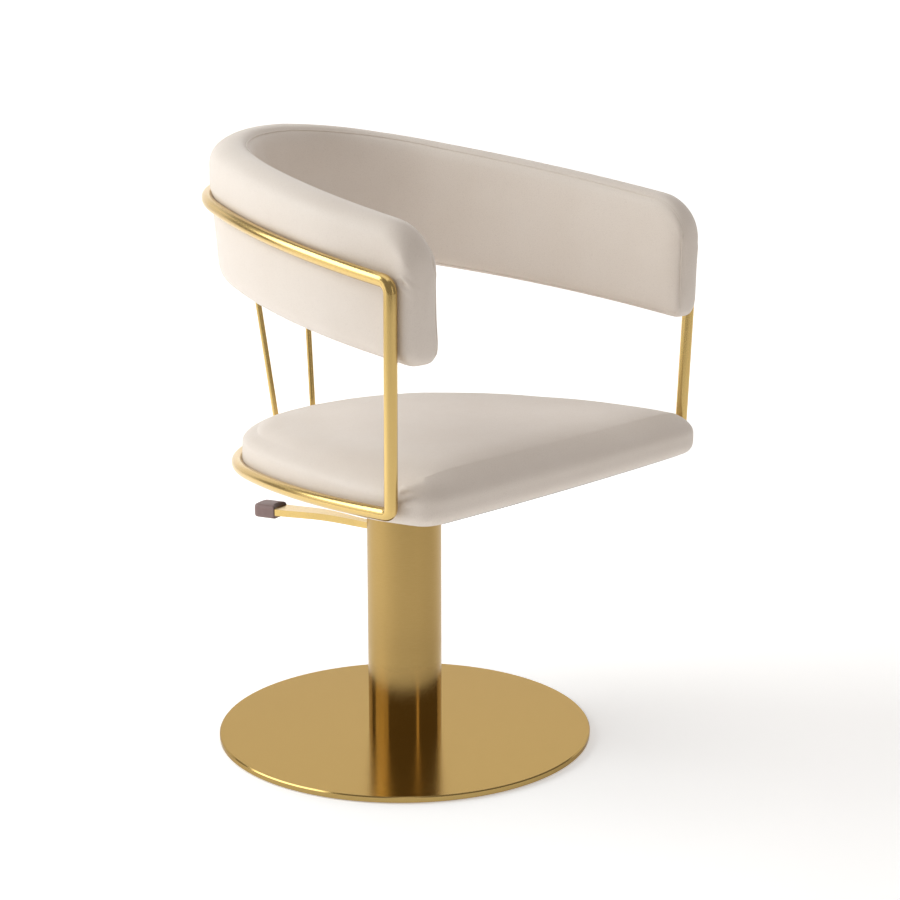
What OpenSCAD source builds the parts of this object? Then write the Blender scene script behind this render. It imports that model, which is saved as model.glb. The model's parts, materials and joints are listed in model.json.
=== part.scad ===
// Hydraulic styling chair: a flat disc base, a pump column with a foot lever, a D-shaped seat,
// and a wraparound back and arm pad carried by a bent tube frame.
// Millimetres. The origin is on the floor at the centre of the base. +Z is up, -Y is towards
// the sitter's knees and +X is the sitter's left.

/* [Base and column] */
// Diameter of the floor disc
base_d = 500; // [460:10:540]
// Height of the disc's top face above the floor
base_h = 9; // [9:0.5:12]
// Thickness of the glued floor pad under the disc
floor_pad_t = 1.2; // [1:0.1:2]
// Width of the bevel round the disc's top edge
base_bevel = 1.4; // [0.5:0.1:2]
// Outside diameter of the column shroud
column_d = 98.6; // [98:0.2:102]
// Wall of the column shroud
column_wall = 1.5; // [1:0.1:2]
// Height of the shroud's top edge
column_top = 322; // [320:1:326]

/* [Pump] */
// Diameter of the lifting ram
ram_d = 32; // [30:0.5:34]
// Stroke of the lifting ram
lift_stroke = 150; // [120:5:155]
// Radial clearance of a shaft in its bore
fit_gap = 0.05; // [0.03:0.01:0.08]

/* [Lever] */
// Heading of the lever, counted from the +X axis
lever_heading = 105; // [0:5:355]
// Distance from the column axis to the end of the grip
lever_reach = 223; // [218:1:240]
// Width of the lever at the grip
lever_tip_w = 34; // [30:1:36]
// Width of the lever at the pivot
lever_root_w = 14; // [12:0.5:15]
// Depth of the lever bar
lever_t = 9; // [8:0.5:12]
// Length of the moulded grip
grip_len = 32; // [30:1:40]

/* [Seat] */
// Height of the seat's underside
seat_bottom = 381; // [380:0.5:384]
// Height of the seat's top at its front edge
seat_top = 445; // [440:1:455]
// Fall of the seat's top towards the rear, in degrees
seat_fall = 1.6; // [0:0.1:2]
// How far the seat's front edge lies ahead of the column axis
seat_front = 288; // [280:1:300]
// Forward bulge of the seat's front edge
seat_bulge = 5; // [0:0.5:10]
// Plan radius of the seat's front corners
seat_corner_r = 34; // [25:1:45]
// Thickness of the plywood seat board
board_t = 14; // [13:0.5:16]

/* [Tube frame] */
// Outside diameter of the main tube
tube_d = 15.5; // [15:0.5:16]
// Wall of the main tube
tube_wall = 1.5; // [1:0.1:2]
// Half width between tube centres at the front of the top bow
bow_half_w = 292; // [285:1:300]
// Radius of the top bow across its rear
bow_rear_r = 236; // [230:1:242]
// Half angle of the top bow's rear arc
bow_rear_a = 65.3; // [64:0.1:67]
// Rise of the top bow towards the rear, in degrees
bow_tilt = 8.75; // [6:0.25:10]
// Centreline radius of the bend from top bow to front post
bend_r = 14; // [12:1:18]
// Distance of the bend's corner ahead of the column axis
bow_front = 248.5; // [245:0.5:252]
// Height of the bend's corner
bow_corner_z = 655; // [645:1:665]
// Outward lean of the front posts, in degrees
post_lean_out = 1.33; // [0.5:0.01:2]
// Forward lean of the front posts, in degrees
post_lean_fwd = 1.5; // [0.5:0.1:2]
// Height of the tube centre at the front of the seat ring
ring_corner_z = 395.7; // [395:0.1:397]
// Radius of the seat ring across its rear
ring_rear_r = 246; // [240:1:250]
// Half angle of the seat ring's rear arc
ring_rear_a = 67.2; // [66:0.1:68]
// Fall of the seat ring towards the rear, in degrees
ring_fall = 1.6; // [1:0.1:1.8]
// Diameter of the two rear rods
rod_d = 8; // [7:0.5:9]
// Offset of the rods from the middle, at the top bow
rod_top_x = 56.6; // [50:0.1:62]
// Offset of the rods from the middle, at the seat ring
rod_foot_x = 33.5; // [30:0.1:40]

/* [Back pad] */
// Thickness of the back and arm pad
pad_t = 49; // [44:1:54]
// Height of the pad above the top bow
pad_above = 62; // [55:1:66]
// Depth of the pad below the top bow
pad_below = 94; // [88:1:98]
// How much taller the pad grows at the rear, above the top bow
pad_rise = 10; // [0:1:14]
// How much deeper the pad grows at the rear, below the top bow
pad_drop = 13; // [0:1:16]
// Length of the pad ahead of the front posts' corner
pad_ahead = 20; // [16:1:24]
// Side-view radius of the arm's top front corner
arm_top_r = 45; // [35:1:50]
// Side-view radius of the arm's bottom front corner
arm_low_r = 14; // [10:1:20]

/* [Hidden] */
$fn = 64;
eps = 0.01;
arc_fn = 360;

gold = [0.80, 0.66, 0.38];
cream = [0.91, 0.86, 0.80];
steel = [0.70, 0.71, 0.73];
iron = [0.32, 0.33, 0.35];
black = [0.12, 0.12, 0.13];

// Base: the disc lies on its floor pad, and the pump flange is bolted through it from below.
floor_pad_inset = 6;
base_low_bevel = 0.8;
base_bolt_pcd = 72;
base_bolt_d = 8;
base_bolt_head_d = 13;
base_bolt_head_h = 5;
bolt_clearance = 0.4;
flange_d = 92;
flange_top = base_h + 12;

// Pump: heights of the barrel, the head and the ram's parts with the seat at its lowest.
reservoir_d = 84;
reservoir_wall = 3;
barrel_d = 48;
bore_d = 40;
barrel_floor = 6;
head_d = 92;
head_low = 215;
head_top = 312;
piston_low = 100;
piston_h = 24;
seal_low = piston_low + 8;
seal_h = 8;
seal_depth = 4;
gland_low = 284;
bush_top = gland_low + 18;
wiper_h = 4;
nut_d = 44;
nut_h = 14;
head_bolt_pcd = 68;
head_bolt_d = 5;
head_bolt_first = lever_heading + 60;
head_bolt_depth = 14;
oil_plug_d = 8;
oil_plug_depth = 8;
ram_shoulder = 340;
spigot_d = 22;
bearing_h = 4;
hub_low = ram_shoulder + bearing_h;

// Lever: the pivot and the plunger lie in a slot of the pump head.
pivot_r = 31;
pivot_z = 281;
pin_d = 6;
eye_d = 10;
bush_wall = 1;
plunger_r = pivot_r + 10;
plunger_d = 6;
heel_z = pivot_z - 4.2;
slot_w = 17;
pin_len = slot_w + 24;
slot_low = 252;
slot_high = 302;
shroud_slot_w = 26;
shroud_slot_low = 256;
grommet_t = 2;
lever_arch_r = 132;
lever_arch_z = 287;
lever_tip_z = 286;
lever_neck_r = 70;
lever_widen_r = 140;
lever_heel_half_t = 3.6;
spring_d = 10.4;
spring_wire = 1.2;
spring_turns = 5;
spring_h = 13;

// Tube frame: the foot of each post follows from the bend at the top bow and the leans.
tube_r = tube_d / 2;
bend_a = 90 - bow_tilt + post_lean_fwd;
bend_back = bend_r * tan(bend_a / 2);
bow_y = -bow_front + bend_back * cos(bow_tilt);
bow_z = bow_corner_z + bend_back * sin(bow_tilt);
bend_drop = -bend_r * (1 - cos(bend_a));
post_top = bow_to_world([bow_half_w + bend_drop * sin(post_lean_out), -bend_r * sin(bend_a),
                         bend_drop * cos(post_lean_out)]);
post_dir = rot_x([-sin(bend_a) * sin(post_lean_out), -cos(bend_a),
                  -sin(bend_a) * cos(post_lean_out)], bow_tilt);
post_foot = post_top + post_dir * (ring_corner_z - post_top.z) / post_dir.z;
ring_half_w = post_foot.x;
rod_top = bow_to_world(concat(bow_point(bow_half_w, bow_rear_r, bow_rear_a, 0,
                                        asin(rod_top_x / bow_rear_r)), [0]));
rod_foot = ring_to_world(concat(bow_point(ring_half_w, ring_rear_r, ring_rear_a, 0,
                                          asin(rod_foot_x / ring_rear_r)), [0]));

// Seat: the cushion stands just inside the ring.
seat_gap = tube_r + 0.6;
seat_centre_y = -45;
cover_t = 1.5;
board_low = seat_bottom + cover_t;
board_scale = 0.94;
cushion_layers = [[0.95, 0], [0.98, 0.05], [0.996, 0.16], [1, 0.3], [0.995, 0.48], [0.975, 0.65],
                  [0.94, 0.79], [0.885, 0.89], [0.8, 0.95], [0.65, 0.98], [0.35, 1]];
plate_w = 170;
plate_t = 6;
plate_low = seat_bottom - plate_t;
plate_bolt_pitch = 130;
plate_bolt_d = 8;
stud_d = 6;
ring_stud_y = [-150, -20, 90];

// Back pad: offsets are counted inwards from the top bow's centreline.
pad_gap = tube_r + 0.4;
pad_ext = pad_ahead + bend_back;
lean_front = 0.023;
lean_rear = 0.19;
shell_skin = 17;
shell_t = 10;
shell_edge = 22;
bow_stud_angles = [0, 50, 78];

// Turns a vector about the X axis.
function rot_x(v, a) = [v.x, v.y * cos(a) - v.z * sin(a), v.y * sin(a) + v.z * cos(a)];
// Places a point of the top bow's plane, and one of the seat ring's plane.
function bow_to_world(v) = rot_x(v, bow_tilt) + [0, bow_y, bow_z];
function ring_to_world(v) = rot_x(v, -ring_fall) + [0, post_foot.y, post_foot.z];

// A bow is a U of three tangent arcs: one across the rear, and one along each side.
// w is the half width at the front, r and a are the rear arc's radius and half angle.
function side_r(w, r, a) = (w - r * sin(a)) / (1 - sin(a));
function bow_depth(w, r, a) = r * (1 - cos(a)) + side_r(w, r, a) * cos(a);
// A point of a bow at heading t, from 0 at the rear to 90 at the front, e inside its line.
function bow_point(w, r, a, e, t) =
    t <= a ? [(r - e) * sin(t), bow_depth(w, r, a) - r + (r - e) * cos(t)]
           : [w - side_r(w, r, a) + (side_r(w, r, a) - e) * sin(t), (side_r(w, r, a) - e) * cos(t)];

// A solid of revolution's arc of tube, hollow when a wall is given.
module tube_arc(r, a, d, wall) {
    rotate_extrude(angle = a, $fn = arc_fn) translate([r, 0]) tube_section(d, wall, $fn = 48);
}
module tube_section(d, wall) {
    difference() {
        circle(d = d);
        if (wall > 0) circle(d = d - 2 * wall);
    }
}
// overrun is how far the side arcs run on past the front ends.
module bow_tube(w, r, a, d, wall, overrun = 0) {
    R = side_r(w, r, a);
    past = asin(overrun / R);
    translate([0, bow_depth(w, r, a) - r, 0]) rotate([0, 0, 90 - a]) tube_arc(r, 2 * a, d, wall);
    for (m = [0, 1]) mirror([m, 0, 0]) translate([w - R, 0, 0])
        rotate([0, 0, -past]) tube_arc(R, 90 - a + past, d, wall);
}
// A round bar or tube from p to q.
module bar(p, q, d, wall = 0) {
    v = q - p;
    translate(p) rotate([0, acos(v.z / norm(v)), atan2(v.y, v.x)])
        linear_extrude(norm(v)) tube_section(d, wall);
}
module in_bow_frame() { translate([0, bow_y, bow_z]) rotate([bow_tilt, 0, 0]) children(); }
module in_ring_frame() {
    translate([0, post_foot.y, post_foot.z]) rotate([-ring_fall, 0, 0]) children();
}
module in_lever_frame() { rotate([0, 0, lever_heading]) children(); }
module ring_of(count, pcd, first = 0) {
    for (i = [0:count - 1])
        rotate([0, 0, first + i * 360 / count]) translate([pcd / 2, 0, 0]) children();
}

// ---- Base ----
module floor_pad() color(black) cylinder(d = base_d - 2 * floor_pad_inset, h = floor_pad_t);
module base_plate() color(gold) difference() {
    rotate_extrude() polygon([[0, floor_pad_t], [base_d / 2 - base_low_bevel, floor_pad_t],
                              [base_d / 2, floor_pad_t + base_low_bevel],
                              [base_d / 2, base_h - base_bevel],
                              [base_d / 2 - base_bevel, base_h], [0, base_h]]);
    ring_of(4, base_bolt_pcd, 45) {
        translate([0, 0, -1]) cylinder(d = base_bolt_d + bolt_clearance, h = base_h + 2);
        translate([0, 0, -1]) cylinder(d = base_bolt_head_d + 1, h = 1 + floor_pad_t + base_bolt_head_h);
    }
}
module base_bolts() color(steel) ring_of(4, base_bolt_pcd, 45) {
    translate([0, 0, floor_pad_t + 0.3]) cylinder(d = base_bolt_head_d, h = base_bolt_head_h - 0.3);
    cylinder_from_to(base_bolt_d, floor_pad_t + 1, flange_top - 2);
}
module cylinder_from_to(d, z0, z1) { translate([0, 0, z0]) cylinder(d = d, h = z1 - z0); }

// ---- Pump, fixed to the base ----
module pump_flange() color(iron) difference() {
    cylinder_from_to(flange_d, base_h, flange_top);
    ring_of(4, base_bolt_pcd, 45) cylinder_from_to(base_bolt_d, base_h - 1, flange_top - 2);
}
module pump_reservoir() color(iron) difference() {
    cylinder_from_to(reservoir_d, flange_top, head_low);
    cylinder_from_to(reservoir_d - 2 * reservoir_wall, flange_top - 1, head_low + 1);
}
module pump_barrel() color(steel) difference() {
    cylinder_from_to(barrel_d, flange_top, gland_low);
    cylinder_from_to(bore_d, flange_top + barrel_floor, gland_low + 1);
}
module pump_head() color(iron) difference() {
    cylinder_from_to(head_d, head_low, head_top);
    cylinder_from_to(barrel_d, head_low - 1, gland_low);
    cylinder_from_to(nut_d, gland_low - eps, head_top + 1);
    in_lever_frame() {
        translate([barrel_d / 2 + 0.6, -slot_w / 2, slot_low])
            cube([head_d, slot_w, slot_high - slot_low]);
        translate([pivot_r, 0, pivot_z]) rotate([90, 0, 0])
            cylinder(d = pin_d, h = pin_len, center = true);
        translate([plunger_r, 0, head_low + 8])
            cylinder(d = plunger_d + 2 * fit_gap, h = slot_low - head_low);
    }
    ring_of(3, head_bolt_pcd, head_bolt_first)
        cylinder_from_to(head_bolt_d, head_top - head_bolt_depth, head_top + 1);
    at_oil_plug() cylinder_from_to(oil_plug_d, head_top - oil_plug_depth, head_top + 1);
}
module head_bolts() color(steel) ring_of(3, head_bolt_pcd, head_bolt_first) {
    cylinder_from_to(head_bolt_d, head_top - head_bolt_depth, head_top);
    cylinder_from_to(head_bolt_d + 3.5, head_top, head_top + 3);
}
module at_oil_plug() {
    rotate([0, 0, head_bolt_first + 60]) translate([head_bolt_pcd / 2, 0, 0]) children();
}
module oil_plug() color(steel) at_oil_plug() {
    cylinder_from_to(oil_plug_d, head_top - oil_plug_depth, head_top);
    translate([0, 0, head_top]) cylinder(d = oil_plug_d + 2, h = 4, $fn = 6);
}
module gland_bush() color([0.72, 0.55, 0.30]) difference() {
    cylinder_from_to(nut_d, gland_low, bush_top);
    cylinder_from_to(ram_d + 2 * fit_gap, gland_low - 1, bush_top + 1);
}
module wiper_seal() color(black) difference() {
    cylinder_from_to(nut_d - 4, bush_top, bush_top + wiper_h);
    cylinder_from_to(ram_d + 2 * fit_gap, bush_top - 1, bush_top + wiper_h + 1);
}
module gland_nut() color(steel) difference() {
    cylinder_from_to(nut_d, bush_top, bush_top + nut_h);
    cylinder_from_to(ram_d + 1.2, bush_top - 1, bush_top + nut_h + 1);
    cylinder_from_to(nut_d - 4, bush_top - 1, bush_top + wiper_h);
}
module column_shroud() color(gold) difference() {
    cylinder_from_to(column_d, base_h, column_top);
    cylinder_from_to(column_d - 2 * column_wall, base_h - 1, column_top + 1);
    in_lever_frame() translate([0, -shroud_slot_w / 2, shroud_slot_low])
        cube([column_d, shroud_slot_w, slot_high - shroud_slot_low]);
}
module shroud_cap() color(gold) difference() {
    union() {
        cylinder_from_to(column_d, column_top, column_top + 3);
        cylinder_from_to(column_d - 2 * column_wall, column_top - 6, column_top);
    }
    cylinder_from_to(ram_d + 8, column_top - 7, column_top + 4);
    cylinder_from_to(column_d - 2 * column_wall - 4, column_top - 7, column_top - 2);
}
// A moulded frame that lines the lever's slot in the shroud.
module slot_grommet() color(black) in_lever_frame() intersection() {
    difference() {
        translate([0, -shroud_slot_w / 2, shroud_slot_low])
            cube([column_d, shroud_slot_w, slot_high - shroud_slot_low]);
        translate([-1, -shroud_slot_w / 2 + grommet_t, shroud_slot_low + grommet_t])
            cube([column_d + 2, shroud_slot_w - 2 * grommet_t,
                  slot_high - shroud_slot_low - 2 * grommet_t]);
    }
    difference() {
        cylinder_from_to(column_d + 1, shroud_slot_low - 1, slot_high + 1);
        cylinder_from_to(column_d - 2 * column_wall - 1, shroud_slot_low - 2, slot_high + 2);
    }
}
module lever_pin() color(steel) in_lever_frame() translate([pivot_r, 0, pivot_z]) rotate([90, 0, 0])
    cylinder(d = pin_d, h = pin_len, center = true);
// A compression spring round the plunger, swept as a polyhedron along its helix.
module plunger_spring() color(steel) in_lever_frame() translate([plunger_r, 0, slot_low]) {
    steps = 16;
    sides = 6;
    n = spring_turns * steps;
    r = (spring_d - spring_wire) / 2;
    pts = [for (i = [0:n]) for (j = [0:sides - 1])
        let (a = i * 360 / steps, b = j * 360 / sides, q = r + spring_wire / 2 * cos(b))
        [q * cos(a), q * sin(a), spring_wire / 2 + (spring_h - spring_wire) * i / n
                                 + spring_wire / 2 * sin(b)]];
    faces = concat([[for (j = [0:sides - 1]) j]],
                   [for (i = [0:n - 1]) for (j = [0:sides - 1])
                       [i * sides + j, (i + 1) * sides + j, (i + 1) * sides + (j + 1) % sides,
                        i * sides + (j + 1) % sides]],
                   [[for (j = [sides - 1:-1:0]) n * sides + j]]);
    polyhedron(pts, faces, convexity = 10);
}

// ---- Ram: slides up out of the pump and carries the swivel ----
module ram() color(steel) {
    cylinder_from_to(ram_d, piston_low + piston_h, ram_shoulder);
    cylinder_from_to(spigot_d, piston_low - 6, piston_low + piston_h);
    cylinder_from_to(spigot_d, ram_shoulder, hub_low + 27);
}
module piston() color(steel) difference() {
    cylinder_from_to(bore_d - 2 * fit_gap, piston_low, piston_low + piston_h);
    cylinder_from_to(spigot_d, piston_low - 1, piston_low + piston_h + 1);
    seal_groove(bore_d + 2);
}
// A ring of the seal's height, from the groove's floor out to a diameter d.
module seal_groove(d) {
    difference() {
        cylinder_from_to(d, seal_low, seal_low + seal_h);
        cylinder_from_to(bore_d - 2 * seal_depth, seal_low - 1, seal_low + seal_h + 1);
    }
}
module piston_seal() color(black) seal_groove(bore_d - 2 * fit_gap);
module thrust_bearing() color(steel) difference() {
    cylinder_from_to(46, ram_shoulder, hub_low - 0.3);
    cylinder_from_to(spigot_d, ram_shoulder - 1, hub_low);
}
module hub_nut() color(steel) difference() {
    translate([0, 0, hub_low + 20.3]) cylinder(d = 34, h = 6, $fn = 6);
    cylinder_from_to(spigot_d, hub_low + 19, hub_low + 28);
}

// ---- Lever ----
// Goes smoothly from 0 to 1 as u goes from 0 to 1.
function eased(u) = (1 - cos(180 * u)) / 2;
// Height of the lever bar's middle at a distance r from the column axis: level at the pivot,
// up over a low arch, and slightly down to the grip.
function lever_z(r) = r < lever_arch_r
    ? pivot_z + (lever_arch_z - pivot_z) * eased((r - pivot_r) / (lever_arch_r - pivot_r))
    : lever_arch_z + (lever_tip_z - lever_arch_z)
        * eased((r - lever_arch_r) / (lever_reach - grip_len - lever_arch_r));
function lever_half_t(r) = r > lever_neck_r
    ? lever_t / 2
    : lever_heel_half_t
        + (lever_t / 2 - lever_heel_half_t) * (r - pivot_r) / (lever_neck_r - pivot_r);
module lever_side() {
    grip_start = lever_reach - grip_len;
    rs = [for (i = [0:24]) pivot_r + (grip_start - pivot_r) * i / 24];
    polygon(concat([for (r = rs) [r, lever_z(r) + lever_half_t(r)]],
                   [for (i = [24:-1:0]) [rs[i], lever_z(rs[i]) - lever_half_t(rs[i])]]));
}
module pump_lever() color(gold) in_lever_frame() difference() {
    union() {
        intersection() {
            rotate([90, 0, 0]) linear_extrude(lever_tip_w + 2, center = true) lever_side();
            lever_plan(lever_root_w, lever_tip_w);
        }
        translate([pivot_r, 0, pivot_z]) rotate([90, 0, 0])
            cylinder(d = eye_d, h = lever_root_w, center = true);
        grip_core();
    }
    translate([pivot_r, 0, pivot_z]) rotate([90, 0, 0])
        cylinder(d = pin_d + 2 * bush_wall, h = lever_root_w + 2, center = true);
}
module grip_core() {
    translate([lever_reach - grip_len - 1, -lever_tip_w / 2 + 6, lever_tip_z - 4.5])
        cube([grip_len - 5, lever_tip_w - 12, 9]);
}
// Plan of the lever: a straight neck that widens to the pedal.
module lever_plan(root_w, tip_w) {
    translate([0, 0, pivot_z - 60]) linear_extrude(120)
        polygon([[0, -root_w / 2], [lever_neck_r, -root_w / 2], [lever_widen_r, -tip_w / 2 + 3],
                 [lever_reach, -tip_w / 2], [lever_reach, tip_w / 2], [lever_widen_r, tip_w / 2 - 3],
                 [lever_neck_r, root_w / 2], [0, root_w / 2]]);
}
module lever_bush() color([0.72, 0.55, 0.30]) in_lever_frame()
    translate([pivot_r, 0, pivot_z]) rotate([90, 0, 0]) difference() {
        cylinder(d = pin_d + 2 * bush_wall, h = lever_root_w, center = true);
        cylinder(d = pin_d + 2 * fit_gap, h = lever_root_w + 2, center = true);
    }
module lever_grip() color([0.45, 0.34, 0.34]) in_lever_frame() difference() {
    hull() for (x = [lever_reach - grip_len + 1, lever_reach - 7], y = [-1, 1], z = [-1, 1])
        translate([x + (x > lever_reach - 10 ? 2 : 0), y * (lever_tip_w / 2 - 4), lever_tip_z + z * 4.5])
            rotate([0, 90, 0]) cylinder(r = 5, h = x > lever_reach - 10 ? 5 : 6, $fn = 32);
    grip_core();
}
module pump_plunger() color(steel) in_lever_frame() translate([plunger_r, 0, 0]) {
    cylinder_from_to(plunger_d, head_low + 14, slot_low + spring_h + 1);
    cylinder_from_to(11, slot_low + spring_h + 0.3, slot_low + spring_h + 3);
    cylinder_from_to(5, slot_low + spring_h + 3, heel_z - 0.5);
}

// ---- Seat ----
module swivel_hub() color(iron) difference() {
    union() {
        cylinder_from_to(56, hub_low, plate_low - 6);
        cylinder_from_to(96, plate_low - 6, plate_low);
    }
    cylinder_from_to(spigot_d + 2 * fit_gap, hub_low - 1, hub_low + 21);
    cylinder_from_to(42, hub_low + 20, plate_low + 1);
}
module seat_plate() color(iron) difference() {
    translate([-plate_w / 2, -plate_w / 2, plate_low]) cube([plate_w, plate_w, plate_t]);
    at_plate_bolts() cylinder_from_to(plate_bolt_d + bolt_clearance, plate_low - 1, seat_bottom + 1);
}
module at_plate_bolts() {
    for (x = [-1, 1], y = [-1, 1])
        translate([x * plate_bolt_pitch / 2, y * plate_bolt_pitch / 2, 0]) children();
}
module plate_bolts() color(steel) at_plate_bolts() {
    cylinder_from_to(14, plate_low - 4, plate_low);
    cylinder_from_to(plate_bolt_d, plate_low, board_low + board_t - 4);
}
module tee_nuts() color(steel) at_plate_bolts() difference() {
    union() {
        cylinder_from_to(11, board_low + 2, board_low + board_t - 1.5);
        cylinder_from_to(22, board_low + board_t - 1.5, board_low + board_t);
    }
    cylinder_from_to(plate_bolt_d, board_low + 1, board_low + board_t - 4);
}

// Half of the seat's plan, from the middle of the rear to the middle of the front.
function seat_half() = let (
        side = ring_half_w - seat_gap,
        y0 = post_foot.y,
        r = seat_corner_r,
        steps = 6)
    concat(
        [for (i = [0:20]) bow_point(ring_half_w, ring_rear_r, ring_rear_a, seat_gap, 4.5 * i) + [0, y0]],
        [for (i = [0:9]) [side - r + r * cos(10 * i), -seat_front + r - r * sin(10 * i)]],
        [for (i = [1:steps]) let (k = i / steps)
            [(side - r) * (1 - k), -seat_front - seat_bulge * (1 - pow(1 - k, 2))]]);
function seat_outline() = let (h = seat_half(), n = len(h))
    concat(h, [for (i = [n - 2:-1:1]) [-h[i].x, h[i].y]]);
function seat_scaled(s) =
    [for (p = seat_outline()) [p.x * s, seat_centre_y + (p.y - seat_centre_y) * s]];
// Height of the seat's top at y: it falls a little towards the rear.
function seat_top_at(y) = seat_top - tan(seat_fall) * (y + seat_front);
// A closed solid through scaled copies of the seat's plan. Each layer is a scale and a fraction
// of the seat's thickness.
module seat_loft(layers) {
    n = len(seat_outline());
    pts = [for (l = layers) for (p = seat_scaled(l[0]))
        [p.x, p.y, seat_bottom + l[1] * (seat_top_at(p.y) - seat_bottom)]];
    last = (len(layers) - 1) * n;
    faces = concat([[for (j = [n - 1:-1:0]) j]],
                   [for (k = [0:len(layers) - 2]) for (j = [0:n - 1])
                       [k * n + j, k * n + (j + 1) % n, (k + 1) * n + (j + 1) % n, (k + 1) * n + j]],
                   [[for (j = [0:n - 1]) last + j]]);
    polyhedron(pts, faces, convexity = 10);
}
module underside_cover() color(black) difference() {
    translate([0, 0, seat_bottom]) linear_extrude(cover_t) polygon(seat_scaled(board_scale));
    at_plate_bolts() cylinder_from_to(plate_bolt_d + bolt_clearance, seat_bottom - 1, board_low + 1);
}
module seat_board() color([0.72, 0.56, 0.38]) difference() {
    translate([0, 0, board_low]) linear_extrude(board_t) polygon(seat_scaled(board_scale));
    at_plate_bolts() {
        cylinder_from_to(plate_bolt_d + bolt_clearance, board_low - 1, board_low + board_t);
        cylinder_from_to(11, board_low + 2, board_low + board_t);
        cylinder_from_to(22, board_low + board_t - 1.5, board_low + board_t + 1);
    }
    ring_stud_bars(stud_d);
}
module seat_cushion() color(cream) difference() {
    seat_loft(cushion_layers);
    translate([0, 0, seat_bottom - 1]) linear_extrude(1 + cover_t + board_t)
        polygon(seat_scaled(board_scale));
    ring_stud_bars(stud_d + 0.4);
}
// Threaded studs on the ring's inner face run level through the cushion into the board's edge.
module ring_stud_bars(d) {
    for (m = [0, 1], y = ring_stud_y) mirror([m, 0, 0]) {
        t = acos((y - post_foot.y) / side_r(ring_half_w, ring_rear_r, ring_rear_a));
        inner = bow_point(ring_half_w, ring_rear_r, ring_rear_a, tube_r - 0.3, t);
        p = ring_to_world(concat(inner, [0]));
        translate(p) rotate([0, -90, 0]) cylinder(d = d, h = 42);
    }
}
module ring_studs() color(steel) difference() {
    ring_stud_bars(stud_d);
    in_ring_frame() bow_tube(ring_half_w, ring_rear_r, ring_rear_a, tube_d, 0);
}

// ---- Tube frame ----
// The ring and each post meet in a mitre at the post's foot. side is 1 to cut away the post's
// side of the mitre, and -1 to cut away the ring's.
module mitre_cut(side) {
    translate(post_foot) rotate([45, 0, 0])
        translate([-2 * tube_d, -2 * tube_d, side > 0 ? 0 : -4 * tube_d]) cube(4 * tube_d);
}
module seat_ring() color(gold) difference() {
    in_ring_frame() bow_tube(ring_half_w, ring_rear_r, ring_rear_a, tube_d, tube_wall, tube_d);
    for (m = [0, 1]) mirror([m, 0, 0]) mitre_cut(1);
}
// A front post, with the bend that carries it into the top bow.
module front_post() {
    difference() {
        bar(post_foot + post_dir * tube_d, post_top, tube_d, tube_wall);
        mitre_cut(-1);
    }
    in_bow_frame() translate([bow_half_w, 0, 0]) rotate([0, post_lean_out, 0])
        translate([0, 0, -bend_r]) rotate([90, 0, 90]) rotate([0, 0, 90])
            tube_arc(bend_r, bend_a, tube_d, tube_wall);
}
module front_post_left() color(gold) front_post();
module front_post_right() color(gold) mirror([1, 0, 0]) front_post();
module top_bow() color(gold) in_bow_frame()
    bow_tube(bow_half_w, bow_rear_r, bow_rear_a, tube_d, tube_wall);
module rear_rod() difference() {
    bar(rod_foot, rod_top, rod_d);
    in_bow_frame() bow_tube(bow_half_w, bow_rear_r, bow_rear_a, tube_d, 0);
    in_ring_frame() bow_tube(ring_half_w, ring_rear_r, ring_rear_a, tube_d, 0);
}
module rear_rod_left() color(gold) rear_rod();
module rear_rod_right() color(gold) mirror([1, 0, 0]) rear_rod();

// ---- Back pad ----
// The pad is swept round the top bow. u is the distance along the bow from the arm's front end.
bow_side_r = side_r(bow_half_w, bow_rear_r, bow_rear_a);
side_len = bow_side_r * (90 - bow_rear_a) * PI / 180;
rear_len = bow_rear_r * bow_rear_a * PI / 180;
half_len = pad_ext + side_len + rear_len;
function heading(u) = u < pad_ext + side_len ? 90 - (u - pad_ext) / bow_side_r * 180 / PI
                                             : max(0, (half_len - u) / bow_rear_r * 180 / PI);
function band_plan(u, e) = u < pad_ext ? [bow_half_w - e, u - pad_ext]
                                       : bow_point(bow_half_w, bow_rear_r, bow_rear_a, e, heading(u));
function band_lean(u) = lean_front + (lean_rear - lean_front) * pow(u / half_len, 3);
// The pad grows taller from the arms to the rear.
function growth(u) = u / half_len;
// A point of the pad: e inside the bow's line and h above it.
function band_point(u, e, h0) = let (
        h = h0 * (1 + growth(u) * (h0 > 0 ? pad_rise / pad_above : pad_drop / pad_below)),
        lean = h < 0 ? -h * band_lean(u) : 0,
        p = band_plan(u, e + lean),
        line = band_plan(u, 0))
    [p.x, bow_y + p.y * cos(bow_tilt), bow_z + line.y * sin(bow_tilt) + h];
// How far a corner of radius r has drawn in at a distance u from the end.
function corner_in(u, r) = u < r ? r - sqrt(r * r - (r - u) * (r - u)) : 0;
// A rounded rectangle from e0 to e1 and from h0 to h1, as a ring of [e, h] points.
function band_section(e0, e1, h0, h1, r, k) =
    [for (c = [[e1 - r, h1 - r, 0], [e0 + r, h1 - r, 90], [e0 + r, h0 + r, 180], [e1 - r, h0 + r, 270]])
        for (i = [0:k]) [c[0] + r * cos(c[2] + 90 * i / k), c[1] + r * sin(c[2] + 90 * i / k)]];
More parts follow.
